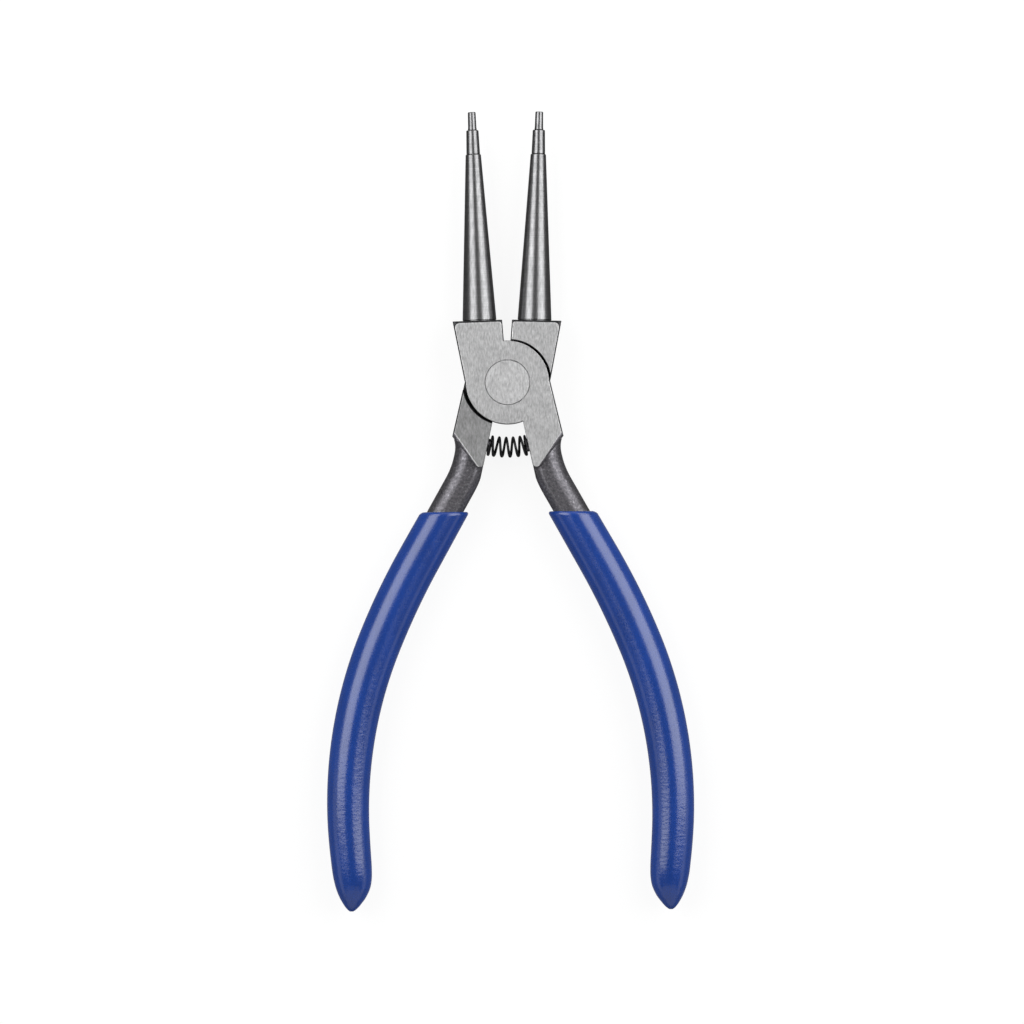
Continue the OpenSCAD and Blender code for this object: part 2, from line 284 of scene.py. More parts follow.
class StageSizes(PropertyGroup):
    """Camera, floor and lights."""

    height: size("Camera height", 1500.0, "Height of the camera above the tool")
    view_x: size("View X", 0.80, "Middle of the view, across")
    view_y: size("View Y", -29.17, "Middle of the view, along")
    roll: lean("Roll", 0.426, "Roll of the camera")
    lens: count("Lens", 233.9, "Focal length on a 36 mm frame, in millimetres")
    floor_size: size("Floor size", 6000.0, "Side of the floor")
    softbox_distance: size("Softbox distance", 700.0, "Distance of each softbox")
    left_width: size("Left width", 560.0, "Width of the left softbox")
    left_tilt: lean("Left tilt", 42.0, "Angle of the left softbox off the vertical")
    right_width: size("Right width", 650.0, "Width of the right softbox")
    right_tilt: lean("Right tilt", 48.0, "Angle of the right softbox off the vertical")
    softbox_length: size("Softbox length", 1100.0, "Length of each softbox")
    softbox_shift: size("Softbox shift", 430.0, "Shift of the softboxes to the tips")
    softbox_radiance: count("Softbox radiance", 3.5, "Brightness of each softbox")
    screen_distance: size("Screen distance", 1000.0, "Distance of the low side screens")
    screen_middle: size("Screen middle", -525.0, "Place of their middle along the tool")
    screen_length: size("Screen length", 950.0, "Length of each screen")
    screen_height: size("Screen height", 400.0, "Height of each screen")
    screen_radiance: count("Screen radiance", 0.6, "Brightness of each screen")
    end_distance: size("End distance", 1100.0, "Distance of the screens at the ends")
    end_length: size("End length", 2200.0, "Length of each screen at the ends")
    tip_height: size("Tip screen height", 700.0, "Height of the screen beyond the tips")
    tip_radiance: count("Tip screen radiance", 0.8, "Brightness of that screen")
    butt_height: size("Butt screen height", 1500.0, "Height of the screen beyond the grips")
    butt_radiance: count("Butt screen radiance", 0.45, "Brightness of that screen")
    room: count("Room", 0.13, "Brightness of the room round the stage")
    floor_glow: count("Floor glow", 0.89, "Light that the lit floor table gives itself")


class PliersSettings(PropertyGroup):
    """Everything that a user may change."""

    head: PointerProperty(type=HeadSizes)
    jaw: PointerProperty(type=JawSizes)
    rivet: PointerProperty(type=RivetSizes)
    spring: PointerProperty(type=SpringSizes)
    handle: PointerProperty(type=HandleSizes)
    grip: PointerProperty(type=GripSizes)
    finish: PointerProperty(type=Finishes)
    stage: PointerProperty(type=StageSizes)


def up(angle):
    """Direction in plan that leans right of the tips by an angle."""
    return Vector((math.sin(angle), math.cos(angle)))


def across(angle):
    """Direction in plan to the right of up(angle)."""
    return Vector((math.cos(angle), -math.sin(angle)))


def meet(p, along, q, beside):
    """Where the line from p meets the line from q, in plan."""
    return p + along * ((q - p).cross(beside) / along.cross(beside))


class Pen:
    """Draws an outline in plan, one edge after another."""

    def __init__(self, bm, start):
        self.bm = bm
        self.first = self.last = bm.verts.new((*start, 0))

    def line(self, point):
        drawn = bmesh.ops.extrude_vert_indiv(self.bm, verts=[self.last])
        self.last = drawn["verts"][0]
        self.last.co = (*point, 0)
        return self.last

    def arc(self, centre, turn, steps=None):
        drawn = bmesh.ops.spin(
            self.bm,
            geom=[self.last],
            cent=(*centre, 0),
            axis=(0, 0, 1),
            angle=turn,
            steps=steps or max(3, round(abs(turn) / ARC_STEP)),
        )
        self.last = drawn["geom_last"][0]
        return self.last

    def close(self):
        self.bm.edges.new((self.last, self.first))
        return self.bm.edges[:]


def round_off(bm, geom, affect, width, segments):
    """Rounds edges of a solid or corners of an outline."""
    bmesh.ops.bevel(
        bm,
        geom=geom,
        affect=affect,
        offset=width,
        segments=segments,
        profile=0.5,
        material=-1,
    )


def moved(x, y, z):
    """Matrix that moves a shape."""
    return Matrix.Translation((x, y, z))


def rotated(angle, axis):
    """Matrix that turns a shape about an axis."""
    return Matrix.Rotation(angle, 4, axis)


def ends_of(edges):
    """The vertices of some edges, each once."""
    return list({vert for edge in edges for vert in edge.verts})


def give_slots(mesh, number):
    """Gives a mesh empty material slots, up to a number."""
    while len(mesh.materials) < number:
        mesh.materials.append(None)


def to_mesh(bm, name, material=0):
    """Writes a bmesh out with its faces pointing outwards."""
    bmesh.ops.recalc_face_normals(bm, faces=bm.faces[:])
    if bm.calc_volume(signed=True) < 0:
        bmesh.ops.reverse_faces(bm, faces=bm.faces[:])
    for face in bm.faces:
        face.smooth = True
        face.material_index = material
    mesh = bpy.data.meshes.new(name)
    give_slots(mesh, material + 1)
    bm.to_mesh(mesh)
    bm.free()
    return mesh


def linked_object(mesh):
    """Puts a mesh in the scene as an object of the same name."""
    obj = bpy.data.objects.new(mesh.name, mesh)
    bpy.context.scene.collection.objects.link(obj)
    return obj


def modified(mesh, kind, **values):
    """A mesh with one modifier applied."""
    obj = linked_object(mesh)
    modifier = obj.modifiers.new(kind, kind)
    for name, value in values.items():
        setattr(modifier, name, value)
    depsgraph = bpy.context.evaluated_depsgraph_get()
    result = bpy.data.meshes.new_from_object(obj.evaluated_get(depsgraph))
    result.name = mesh.name
    bpy.data.objects.remove(obj)
    bpy.data.meshes.remove(mesh)
    return result


def combined(mesh, operation, tool):
    """A mesh joined with a second one or cut by it."""
    give_slots(mesh, len(tool.materials))
    cutter = linked_object(tool)
    result = modified(
        mesh,
        "BOOLEAN",
        operation=operation,
        solver="MANIFOLD",
        material_mode="INDEX",
        object=cutter,
    )
    bpy.data.objects.remove(cutter)
    bpy.data.meshes.remove(tool)
    if not result.polygons:
        raise RuntimeError(f"nothing is left of {result.name}")
    return result


def lathe(profile, name, material=0, sides=TURNED_SIDES):
    """Turns a profile of radius and height about the Y axis."""
    bm = bmesh.new()
    pen = Pen(bm, profile[0])
    for point in profile[1:]:
        pen.line(point)
    bmesh.ops.spin(
        bm,
        geom=bm.verts[:] + bm.edges[:],
        cent=(0, 0, 0),
        axis=(0, 1, 0),
        angle=math.tau,
        steps=sides,
        use_merge=True,
    )
    bmesh.ops.remove_doubles(bm, verts=bm.verts[:], dist=ONE_POINT)
    return to_mesh(bm, name, material)


def sweep(bm, edges, frames):
    """Draws a section through a row of frames and returns its first and last ring."""
    first = edges
    bmesh.ops.transform(bm, matrix=frames[0], verts=ends_of(edges))
    for before, after in zip(frames, frames[1:]):
        drawn = bmesh.ops.extrude_edge_only(bm, edges=edges)["geom"]
        edges = [part for part in drawn if isinstance(part, bmesh.types.BMEdge)]
        verts = [part for part in drawn if isinstance(part, bmesh.types.BMVert)]
        bmesh.ops.transform(bm, matrix=after @ before.inverted(), verts=verts)
    return first, edges


def place_piece(mesh, name, body, nodes, materials):
    """Puts a finished mesh in the scene as a piece that rides on a body."""
    mesh.name = name
    give_slots(mesh, len(materials))
    for index, material in enumerate(materials):
        mesh.materials[index] = material
    obj = linked_object(mesh)
    if body:
        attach(obj, body)
    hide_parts(*nodes)
    return obj


def crisp(mesh):
    """Smooth curves, flat flats and sharp edges."""
    mesh.set_sharp_from_angle(angle=SHARP_ANGLE)
    return modified(mesh, "WEIGHTED_NORMAL", keep_sharp=True, weight=50)


def turned_over(mesh, thickness):
    """A copy of a front lever's piece, turned over into its place on the rear one."""
    copy = mesh.copy()
    copy.transform(moved(0, 0, thickness) @ rotated(math.pi, "Y"))
    return copy


def fillet(corner, back, onward, radius):
    """Start, centre and turn of the arc that rounds a corner between two directions."""
    half = back.angle(onward) / 2
    start = corner + back * (radius / math.tan(half))
    centre = corner + (back + onward).normalized() * (radius / math.sin(half))
    return start, centre, math.pi - 2 * half


def seat_reach(spring):
    """Distance of a spring seat's plane from the pivot."""
    return spring.seat_apex * math.sin(spring.seat_lean)


def spring_seat(spring):
    """Middle of the spring's seat on the right-hand root, in plan."""
    height = spring.seat_apex + spring.depth
    return Vector((math.tan(spring.seat_lean) * height, -spring.depth))


def root_corner(head):
    """Outer corner of the handle root, in plan."""
    return meet(
        head.disc_radius * across(-head.root_flank),
        up(-head.root_flank),
        Vector((0, -head.root_depth)),
        Vector((1, 0)),
    )


def toe_shape(head, spring, part, rise):
    """Centre, radius and end of the toe's arc inside part of its bevel, and that end's side."""
    depth = head.edge_bevel * (1 - rise)
    bright = head.burnish_width * max(0, 1 - depth / head.burnish_depth)
    slope = (head.edge_bevel - depth) / (head.edge_bevel - head.burnish_depth)
    slope = head.toe_slope * min(1, slope)
    lap, radius = part * head.rim_bevel, head.toe_radius - bright
    seat = seat_reach(spring) + lap
    toe = meet(
        across(-spring.seat_lean) * (seat + radius),
        up(-spring.seat_lean),
        Vector((0, radius + lap - head.toe_depth)),
        Vector((1, 0)),
    )
    corner = root_corner(head)
    fall = (toe - corner).angle(-up(-head.root_flank))
    away = corner + up(-head.root_flank) * (slope + bright) / math.sin(fall) - toe
    end = math.atan2(away.y, away.x) - math.acos(radius / away.length)
    return toe, radius, end, Vector((math.cos(end), math.sin(end)))


def plate_ring(bm, head, jaw, spring, part, rise):
    """Draws the front plate in plan, jaw left and handle right, inside part of its roundings."""
    before = set(bm.edges)
    edge, lap = part * head.edge_bevel, part * head.rim_bevel
    disc = head.disc_radius - lap
    slot, top, flank = up(-head.slot_lean), across(-jaw.lean), up(-head.jaw_flank)
    root, seat = up(-head.root_flank), up(-spring.seat_lean)
    seat_out = across(-spring.seat_lean)

    def on_disc(nearest, along):
        return nearest + along * math.sqrt(max(0, disc**2 - nearest.length_squared))

    def disc_arc(first, last):
        turn = math.atan2(last.y, last.x) - math.atan2(first.y, first.x)
        pen.arc((0, 0), turn % math.tau, LAP_STEPS)

    shoulder = Vector((-jaw.offset, head.shoulder))
    shoulder -= up(-jaw.lean) * part * head.shoulder_bevel
    slot_side = across(-head.slot_lean) * -part * head.slot_bevel
    jaw_side = across(-head.jaw_flank) * (edge - head.disc_radius)
    root_side = across(-head.root_flank) * (head.disc_radius - edge)
    seat_side = seat_out * (seat_reach(spring) + lap)
    toe, toe_radius, toe_end, toe_out = toe_shape(head, spring, part, rise)
    slot_top, jaw_foot = on_disc(slot_side, slot), on_disc(jaw_side, flank)
    seat_top, root_foot = on_disc(seat_side, -seat), on_disc(root_side, -root)

    pen = Pen(bm, slot_top)
    for corner, back, onward, radius in (
        (meet(slot_side, slot, shoulder, top), -slot, -top, head.corner_radius / 2),
        (meet(jaw_side, flank, shoulder, top), top, -flank, head.corner_radius),
    ):
        radius = head.rim_bevel / 2 + rise * radius
        arc_start, centre, turn = fillet(corner, back, onward, radius)
        pen.line(arc_start)
        pen.arc(centre, turn, CORNER_STEPS)
    pen.line(jaw_foot)
    disc_arc(jaw_foot, seat_top)
    pen.line(toe - seat_out * toe_radius)
    pen.arc(toe, (toe_end - math.pi - spring.seat_lean) % math.tau, TOE_STEPS)
    pen.line(meet(root_side, root, toe + toe_out * toe_radius, toe_out.orthogonal()))
    pen.line(root_foot)
    disc_arc(root_foot, slot_top)
    bmesh.ops.pointmerge(bm, verts=[pen.last, pen.first], merge_co=pen.first.co)
    return [edge for edge in bm.edges if edge not in before]


def beyond_toe(spot, head, spring):
    """True outside the toe edge of the root's flat, in plan."""
    toe, radius, _, toe_out = toe_shape(head, spring, 1, 1)
    return toe_out.dot(spot - toe) > radius


def edge_finish(spot, depth, head, spring):
    """Finish of the plate's edge at a spot in plan and a depth below the flats."""
    seat = across(-spring.seat_lean).dot(spot) - seat_reach(spring)
    on_seat = abs(seat) < 2 * head.rim_bevel
    if spot.y < 0 and (on_seat or spot.length < head.disc_radius):
        return GROUND
    if beyond_toe(spot, head, spring):
        return FORGED if depth > head.burnish_depth else GROUND
    return SCALE_AND_RECESS_SHADE if depth > head.ground_depth else GROUND


def plate_mesh(head, jaw, spring):
    """The lever's plate at full thickness, with rounded edges, dark where not ground."""
    bm = bmesh.new()
    turns = [QUARTER * i / EDGE_STEPS for i in range(EDGE_STEPS + 1)]
    low = [(1 - math.cos(a), math.sin(a), head.edge_bevel * (1 - math.sin(a))) for a in turns]
    high = [(part, rise, head.thickness - depth) for part, rise, depth in low]
    rings = []
    for part, rise, height in low[::-1] + high:
        ring = plate_ring(bm, head, jaw, spring, part, rise)
        bmesh.ops.translate(bm, vec=(0, 0, height), verts=ends_of(ring))
        rings.append(ring)
    for lower, upper in zip(rings, rings[1:]):
        bmesh.ops.bridge_loops(bm, edges=lower + upper)
    for ring in (rings[0], rings[-1]):
        bmesh.ops.contextual_create(bm, geom=ring)
    mesh = to_mesh(bm, "plate", GROUND)
    give_slots(mesh, SCALE_AND_RECESS_SHADE + 1)
    for face in mesh.polygons:
        depth = min(face.center.z, head.thickness - face.center.z)
        face.material_index = edge_finish(face.center.xy, depth, head, spring)
    return mesh


def recess_mesh(head, shift):
    """Cutter for the room that the other lever's disc turns in, with a broken edge; its walls take
    the near-black scale colour as painted shade in the recess.
    """
    floor = (head.thickness + head.lap_play) / 2
    radius, bevel = head.recess_radius, head.rim_bevel
    profile = (
        (0, -LET_IN),
        (radius + bevel + LET_IN, -LET_IN),
        (radius, bevel),
        (radius, floor),
        (0, floor),
    )
    mesh = lathe(profile, "recess", SCALE_AND_RECESS_SHADE, 2 * TURNED_SIDES)
    mesh.transform(moved(shift, 0, 0) @ rotated(QUARTER, "X"))
    return mesh


def turned_rivet(head, rivet, rim, name):
    """Turns the rivet, or its hole, from the outline of one rim: cone, shank and cone."""
    shank = rivet.shank_radius + rim[-1][0] - rivet.radius
    sink = rivet.rim_depth + rivet.radius - rivet.shank_radius
    half = [*rim, (shank, sink)]
    other = [(radius, head.thickness - depth) for radius, depth in reversed(half)]
    mesh = lathe(half + other, name, GROUND)
    mesh.transform(rotated(QUARTER, "X"))
    return mesh


def rivet_seat_mesh(head, rivet):
    """Cutter for the hole that the rivet fills, with broken edges."""
    radius, depth = rivet.radius + rivet.gap, rivet.rim_depth
    wide = radius + rivet.rim_bevel * (1 + LET_IN / depth)
    rim = ((0, -LET_IN), (wide, -LET_IN), (radius, depth))
    return turned_rivet(head, rivet, rim, "rivet_seat")


def peg_hole_mesh(head, spring):
    """Cutter for the blind hole that the spring's peg is pressed into."""
    radius, depth = spring.hole_radius, spring.hole_depth
    profile = ((0, -LET_IN), (radius, -LET_IN), (radius, depth), (0, depth))
    mesh = lathe(profile, "peg_hole", SCALE_AND_RECESS_SHADE)
    place = moved(*spring_seat(spring), head.thickness / 2)
    mesh.transform(place @ rotated(spring.seat_lean - QUARTER, "Z"))
    return mesh


def jaw_mesh(head, jaw):
    """One turned, stepped jaw, let into its shoulder on the left."""
    bevel, relief = jaw.corner_bevel, jaw.relief
    step_top = jaw.length + jaw.step_length
    pin_top = step_top + jaw.pin_length
    profile = (
        (0, -LET_IN),
        (jaw.root_radius - relief, -LET_IN),
        (jaw.root_radius - relief, relief),
        (jaw.root_radius, 2 * relief),
        (jaw.end_radius, jaw.length - bevel),
        (jaw.end_radius - bevel, jaw.length),
        (jaw.step_radius - relief, jaw.length),
        (jaw.step_radius, jaw.length + relief),
        (jaw.step_end_radius, step_top - bevel),
        (jaw.step_end_radius - bevel, step_top),
        (jaw.pin_radius - relief / 2, step_top),
        (jaw.pin_radius + bevel / 2, step_top + relief),
        (jaw.pin_radius, step_top + jaw.flare),
        (jaw.pin_end_radius, pin_top - bevel),
        (jaw.pin_end_radius - bevel, pin_top),
        (0, pin_top),
    )
    mesh = lathe(profile, "jaw", TURNED)
    place = moved(-jaw.offset, head.shoulder, head.thickness / 2)
    mesh.transform(place @ rotated(jaw.lean, "Z"))
    return mesh


def route_legs(handle):
    """The legs of the handle: a straight has no turn, and a bend turns outwards."""
    return (
        (handle.neck_run, 0),
        (handle.neck_radius, handle.neck_turn),
        (handle.upper_run, 0),
        (handle.upper_radius, -handle.upper_turn),
        (handle.palm_radius, -handle.palm_turn),
        (handle.lower_run, 0),
        (handle.heel_radius, handle.heel_turn),
    )


def leg_length(run, turn):
    """Length of one leg: the run of a straight, or the radius of a bend times its turn."""
    return run * abs(turn) if turn else run


def route_length(handle):
    """Length of the handle's middle line."""
    return sum(leg_length(run, turn) for run, turn in route_legs(handle))


def on_route(handle, distance):
    """Point and lean of the handle's middle line at a distance below its start."""
    point = Vector((handle.start_x, -handle.start_depth))
    angle = handle.lean
    for run, turn in route_legs(handle):
        part = min(distance, leg_length(run, turn))
        if turn:
            side = math.copysign(run, turn)
            centre = point + across(-angle) * side
            angle += part / side
            point = centre - across(-angle) * side
        else:
            point = point - up(-angle) * part
        distance -= part
    return point - up(-angle) * distance, angle


def section_frame(point, angle, middle, half_out, half_in, half_high, level=0):
    """Places a section of unit half width square across the handle, or level at its mouth."""
    out = across(-angle)
    down = -up(-angle)
    half = (half_out + half_in) / 2
    point = point + out * (half_out - half_in) / 2
    side = (out + down * math.tan(angle) * level) * half
    frame_matrix = Matrix.Identity(4)
    frame_matrix.col[0] = (*side, 0, 0)
    frame_matrix.col[1] = (0, 0, half_high, 0)
    frame_matrix.col[2] = (*down, 0, 0)
    frame_matrix.col[3] = (*point, middle, 1)
    return frame_matrix


def shank_section(bm, handle):
    """The shank's section at unit half width: round outside, bevelled inside."""
    bevel = handle.bevel / handle.half_width
    flat = 1 - bevel
    before = set(bm.edges)
    pen = Pen(bm, (0, -1))
    pen.arc((0, 0), math.pi)
    corners = [pen.line(p) for p in ((-flat, 1), (-1, flat), (-1, -flat), (-flat, -1))]
    pen.close()
    for corner in corners:
        round_off(bm, [corner], "VERTICES", bevel / 3, BEVEL_STEPS)
    return [edge for edge in bm.edges if edge not in before]


def shank_halves(handle, head, spring, distance):
    """Half widths of the shank outwards and inwards: the web outside, the seat inside."""
    point, angle = on_route(handle, distance)
    half = handle.half_width
    start = Vector((handle.start_x, -handle.start_depth))
    corner = root_corner(head) - start
    corner_down = -corner.dot(up(-handle.lean))
    corner_out = corner.dot(across(-handle.lean)) - head.rim_bevel
    hollow_out = handle.hollow_radius + half
    hollow_down = corner_down + math.sqrt(handle.hollow_radius**2 - (corner_out - hollow_out) ** 2)
    half_out = half
    if corner_down <= distance < hollow_down:
        rise = handle.hollow_radius**2 - (distance - hollow_down) ** 2
        half_out = hollow_out - math.sqrt(rise)
    seat_out = across(-spring.seat_lean)
    room = seat_out.dot(point) - seat_reach(spring)
    half_in = min(half, room / seat_out.dot(across(-angle)) - SEAT_ROOM)
    return half_out, half_in


def shank_mesh(handle, head, spring):
    """The forged shank from inside the head to the end of its tang."""
    bm = bmesh.new()
    edges = shank_section(bm, handle)
    middle, high = head.thickness / 2, handle.half_width
    swept = route_length(handle) + handle.tang_end - SHANK_START
    stations = round(swept / SHANK_STEP)
    frames = []
    for i in range(stations + 1):
        distance = SHANK_START + swept * i / stations
        point, angle = on_route(handle, distance)
        halves = shank_halves(handle, head, spring, distance)
        frames.append(section_frame(point, angle, middle, *halves, high))
    for ring in sweep(bm, edges, frames):
        bmesh.ops.contextual_create(bm, geom=ring)
    return to_mesh(bm, "shank", FORGED)


def lever_mesh(pliers):
    """One forging: plate with its half lap, turned jaw and shank."""
    head, jaw, spring = pliers.head, pliers.jaw, pliers.spring
    mesh = plate_mesh(head, jaw, spring)
    for shift in (-head.jaw_shift, head.root_shift):
        mesh = combined(mesh, "DIFFERENCE", recess_mesh(head, shift))
    mesh = combined(mesh, "DIFFERENCE", rivet_seat_mesh(head, pliers.rivet))
    mesh = combined(mesh, "UNION", jaw_mesh(head, jaw))
    mesh = combined(mesh, "UNION", shank_mesh(pliers.handle, head, spring))
    mesh = combined(mesh, "DIFFERENCE", peg_hole_mesh(head, spring))
    # The back flat of each handle root takes the darker, rougher steel
    for face in mesh.polygons:
        spot = face.center.xy
        back = face.normal.z < BACKWARDS and face.material_index == GROUND
        root = spot.x > 0 > spot.y and not beyond_toe(spot, head, spring)
        if back and root:
            face.material_index = DARK_BACK_ROOT
    return crisp(mesh)


def rivet_mesh(head, rivet):
    """The flush rivet, turned, with a cone under each head."""
    flat = rivet.radius - rivet.rim_bevel
    rim = ((0, 0), (flat, 0), (rivet.radius, rivet.rim_depth))
    return crisp(turned_rivet(head, rivet, rim, "rivet"))


def spring_mesh(head, spring):
    """The coil spring, wound straight and then bent to lie square on both seats."""
    reach = (spring_seat(spring) - Vector((0, spring.seat_apex))).length
    wire = 2 * spring.wire_radius
    span = 2 * reach * spring.seat_lean - wire - SPRING_ROOM
    close_pitch = wire * CLOSED_COIL
    live_pitch = (span - 2 * spring.end_turns * close_pitch) / spring.live_turns
    all_turns = spring.live_turns + 2 * spring.end_turns
    bm = bmesh.new()
    bmesh.ops.create_circle(
        bm,
        segments=WIRE_SIDES,
        radius=spring.wire_radius,
        matrix=rotated(math.pi * all_turns, "Z")
        @ moved(0, spring.coil_radius, -span / 2)
        @ rotated(QUARTER, "Y"),
    )
    ring = bm.verts[:] + bm.edges[:]
    for turns, pitch in (
        (spring.end_turns, close_pitch),
        (spring.live_turns, live_pitch),
        (spring.end_turns, close_pitch),
    ):
        ring = bmesh.ops.spin(
            bm,
            geom=ring,
            cent=(0, 0, 0),
            axis=(0, 0, 1),
            dvec=(0, 0, pitch / COIL_STEPS),
            angle=-turns * math.tau,
            steps=round(turns * COIL_STEPS),
        )["geom_last"]
    open_ends = [edge for edge in bm.edges if edge.is_boundary]
    bmesh.ops.holes_fill(bm, edges=open_ends)
    for vert in bm.verts:
        out, high, along = vert.co
        arc = along / reach
        vert.co = (
            (reach + out) * math.sin(arc),
            spring.seat_apex - (reach + out) * math.cos(arc),
            head.thickness / 2 + high,
        )
    mesh = to_mesh(bm, "spring")
    mesh.set_sharp_from_angle(angle=SHARP_ANGLE)
    return mesh


def between(table, distance):
    """A row of a shape table at a distance, on a smooth curve through its rows."""
    last = len(table) - 1
    i = next((k for k in range(last) if distance < table[k + 1][0]), last - 1)
    span = table[i + 1][0] - table[i][0]
    t = min(max((distance - table[i][0]) / span, 0), 1)

    def slope(k, column):
        a, b = table[max(k - 1, 0)], table[min(k + 1, last)]
        return (b[column] - a[column]) / (b[0] - a[0]) * span

    def value(column):
        start, end = table[i][column], table[i + 1][column]
        rise = end - start
        leave, arrive = slope(i, column), slope(i + 1, column)
        bend = leave - rise - t * (leave + arrive - 2 * rise)
        return start + t * rise + t * (1 - t) * bend

    return [value(column) for column in range(1, len(table[0]))]


def grip_mesh(head, handle, grip):
    """A dipped sleeve: level and rounded at the mouth, pointed at the end."""
    middle = head.thickness / 2
    lead = handle.neck_run + handle.neck_radius * handle.neck_turn
    bend_end, angle = on_route(handle, lead)
    mouth = lead + (bend_end.y - grip.mouth) / math.cos(angle)
    shape = [[value * MM for value in row] for row in GRIP_SHAPE]
    nose = shape[-1][0] - NOSE_START

    def skin_frame(below, half_out, half_in, high):
        point, lean_here = on_route(handle, mouth + below)
        level = max(0, 1 - below / LEVEL_RUN) ** 2
        return section_frame(point, lean_here, middle, half_out, half_in, high, level)

    bm = bmesh.new()
    bmesh.ops.create_circle(bm, segments=GRIP_SIDES, radius=1)
    frames = []
    rings = [GRIP_STEP * i for i in range(round(NOSE_START / GRIP_STEP))]
    rings += [NOSE_START + NOSE_STEP * i for i in range(round(nose / NOSE_STEP) + 1)]
    for below in rings:
        half, shift = between(shape, below)
        high = min(half, grip.half_height)
        frames.append(skin_frame(below, half + shift, half - shift, high))
    lip, tip = sweep(bm, bm.edges[:], frames)
    bmesh.ops.contextual_create(bm, geom=tip)

    inner = shank_section(bm, handle)
    half = handle.half_width + grip.clearance
    depth = route_length(handle) + handle.tang_end + grip.clearance - mouth
    stations = [depth * i / BORE_STEPS for i in range(BORE_STEPS + 1)]
    frames = [skin_frame(below, half, half, half) for below in stations]
    seat, end = sweep(bm, inner, frames)
    bmesh.ops.contextual_create(bm, geom=end)
    bmesh.ops.bridge_loops(bm, edges=lip + seat)
    bmesh.ops.recalc_face_normals(bm, faces=bm.faces[:])
    outer_lip = [edge for edge in lip if edge.is_valid]
    round_off(bm, outer_lip, "EDGES", grip.lip_radius, LIP_STEPS)
    mesh = to_mesh(bm, "grip")
    mesh.set_sharp_from_angle(angle=VINYL_SHARP_ANGLE)
    return mesh


class Finish:
    """A material under construction: one shader and the nodes that feed it."""

    def __init__(self, name, **values):
        self.material = bpy.data.materials.new(name)
        self.material.use_nodes = True
        self.tree = self.material.node_tree
        self.shader = self.tree.nodes["Principled BSDF"]
        self.place = self.tree.nodes.new("ShaderNodeTexCoord").outputs["Object"]
        self.set(**values)

    def node(self, kind, **values):
        made = self.tree.nodes.new(kind)
        for name, value in values.items():
            setattr(made, name, value)
        return made

    def link(self, output, target):
        self.tree.links.new(output, target)

    def set(self, **values):
        for name, value in values.items():
            self.shader.inputs[name.replace("_", " ")].default_value = value

    def noise(self, scale, detail=3.0, roughness=0.55):
        """Noise with a count of cells per metre along each axis."""
        mapping = self.node("ShaderNodeMapping")
        mapping.inputs["Scale"].default_value = scale
        self.link(self.place, mapping.inputs["Vector"])
        noise = self.node("ShaderNodeTexNoise")
        noise.inputs["Scale"].default_value = 1.0
        noise.inputs["Detail"].default_value = detail
        noise.inputs["Roughness"].default_value = roughness
        self.link(mapping.outputs["Vector"], noise.inputs["Vector"])
        return noise.outputs["Fac"]

    def tones(self, factor, base, *stops):
        """A ramp of places, each with a lighter or darker tone of one colour."""
        node = self.node("ShaderNodeValToRGB")
        elements = node.color_ramp.elements
        while len(elements) < len(stops):
            elements.new(0.5)
        for element, (place, tone) in zip(elements, stops):
            element.position = place
            element.color = (*tinted(base, tone), 1)
        self.link(factor, node.inputs["Fac"])
        return node.outputs["Color"]

    def spread(self, factor, low, high, start=0.3, end=0.7):
        """A plain value that runs from low to high over part of a factor."""
        node = self.node("ShaderNodeMapRange")
        for name, value in zip(
            ("From Min", "From Max", "To Min", "To Max"), (start, end, low, high)
        ):
            node.inputs[name].default_value = value
        self.link(factor, node.inputs["Value"])
        return node.outputs["Result"]

    def shade(self, tint, value):
        """A colour times a value."""
        node = self.node("ShaderNodeMix", data_type="RGBA", blend_type="MULTIPLY")
        node.inputs["Factor"].default_value = 1.0
        self.link(tint, node.inputs["A"])
        self.link(value, node.inputs["B"])
        return node.outputs["Result"]

    def times(self, first, second):
        """One plain value times another."""
        node = self.node("ShaderNodeMath", operation="MULTIPLY")
        self.link(first, node.inputs[0])
        self.link(second, node.inputs[1])
        return node.outputs["Value"]

    def along(self):
        """Distance from the pivot along the tool, in metres."""
        node = self.node("ShaderNodeSeparateXYZ")
        self.link(self.place, node.inputs["Vector"])
        return node.outputs["Y"]

    def bump(self, height, strength, distance, under=None):
        """Bumps of a given height in metres, laid over others."""
        node = self.node("ShaderNodeBump")
        node.inputs["Strength"].default_value = strength
        node.inputs["Distance"].default_value = distance
        self.link(height, node.inputs["Height"])
        if under:
            self.link(under, node.inputs["Normal"])
        return node.outputs["Normal"]

    def done(self, tint, roughness, normal):
        """Feeds the shader and hands the material over."""
        self.link(tint, self.shader.inputs["Base Color"])
        self.link(roughness, self.shader.inputs["Roughness"])
        self.link(normal, self.shader.inputs["Normal"])
        return self.material


def tinted(base, factor):
    """A colour made lighter or darker."""
    return [min(1.0, channel * factor) for channel in base]


def ground_finish(name, base, smooth, rough, stain):
    """Steel ground along the tool: fine lines, with faint stains over them."""
    finish = Finish(name, Metallic=1.0)
    lines = finish.noise((3000, 850, 3000), detail=5.0, roughness=0.65)
    patches = finish.noise((420, 300, 420), detail=4.0)
    tint = finish.tones(lines, base, (0.32, 0.70), (0.5, 1.0), (0.68, 1.28))
    return finish.done(
        finish.shade(tint, finish.spread(patches, stain, 1.0)),
        finish.spread(patches, rough, smooth),
        finish.bump(lines, strength=0.22, distance=0.012 * MM),
    )


def turned_finish(name, base):
    """Polished steel with faint turning marks round the jaw."""
    finish = Finish(name, Metallic=1.0)
    marks = finish.noise((120, 4200, 120))
    patches = finish.noise((2400, 420, 2400), detail=5.0, roughness=0.65)
    tint = finish.tones(patches, base, (0.3, 0.72), (0.5, 1.0), (0.7, 1.25))
    return finish.done(
        finish.shade(tint, finish.spread(marks, 0.76, 1.0)),
        finish.spread(patches, 0.33, 0.27),
        finish.bump(marks, strength=0.18, distance=0.008 * MM),
    )


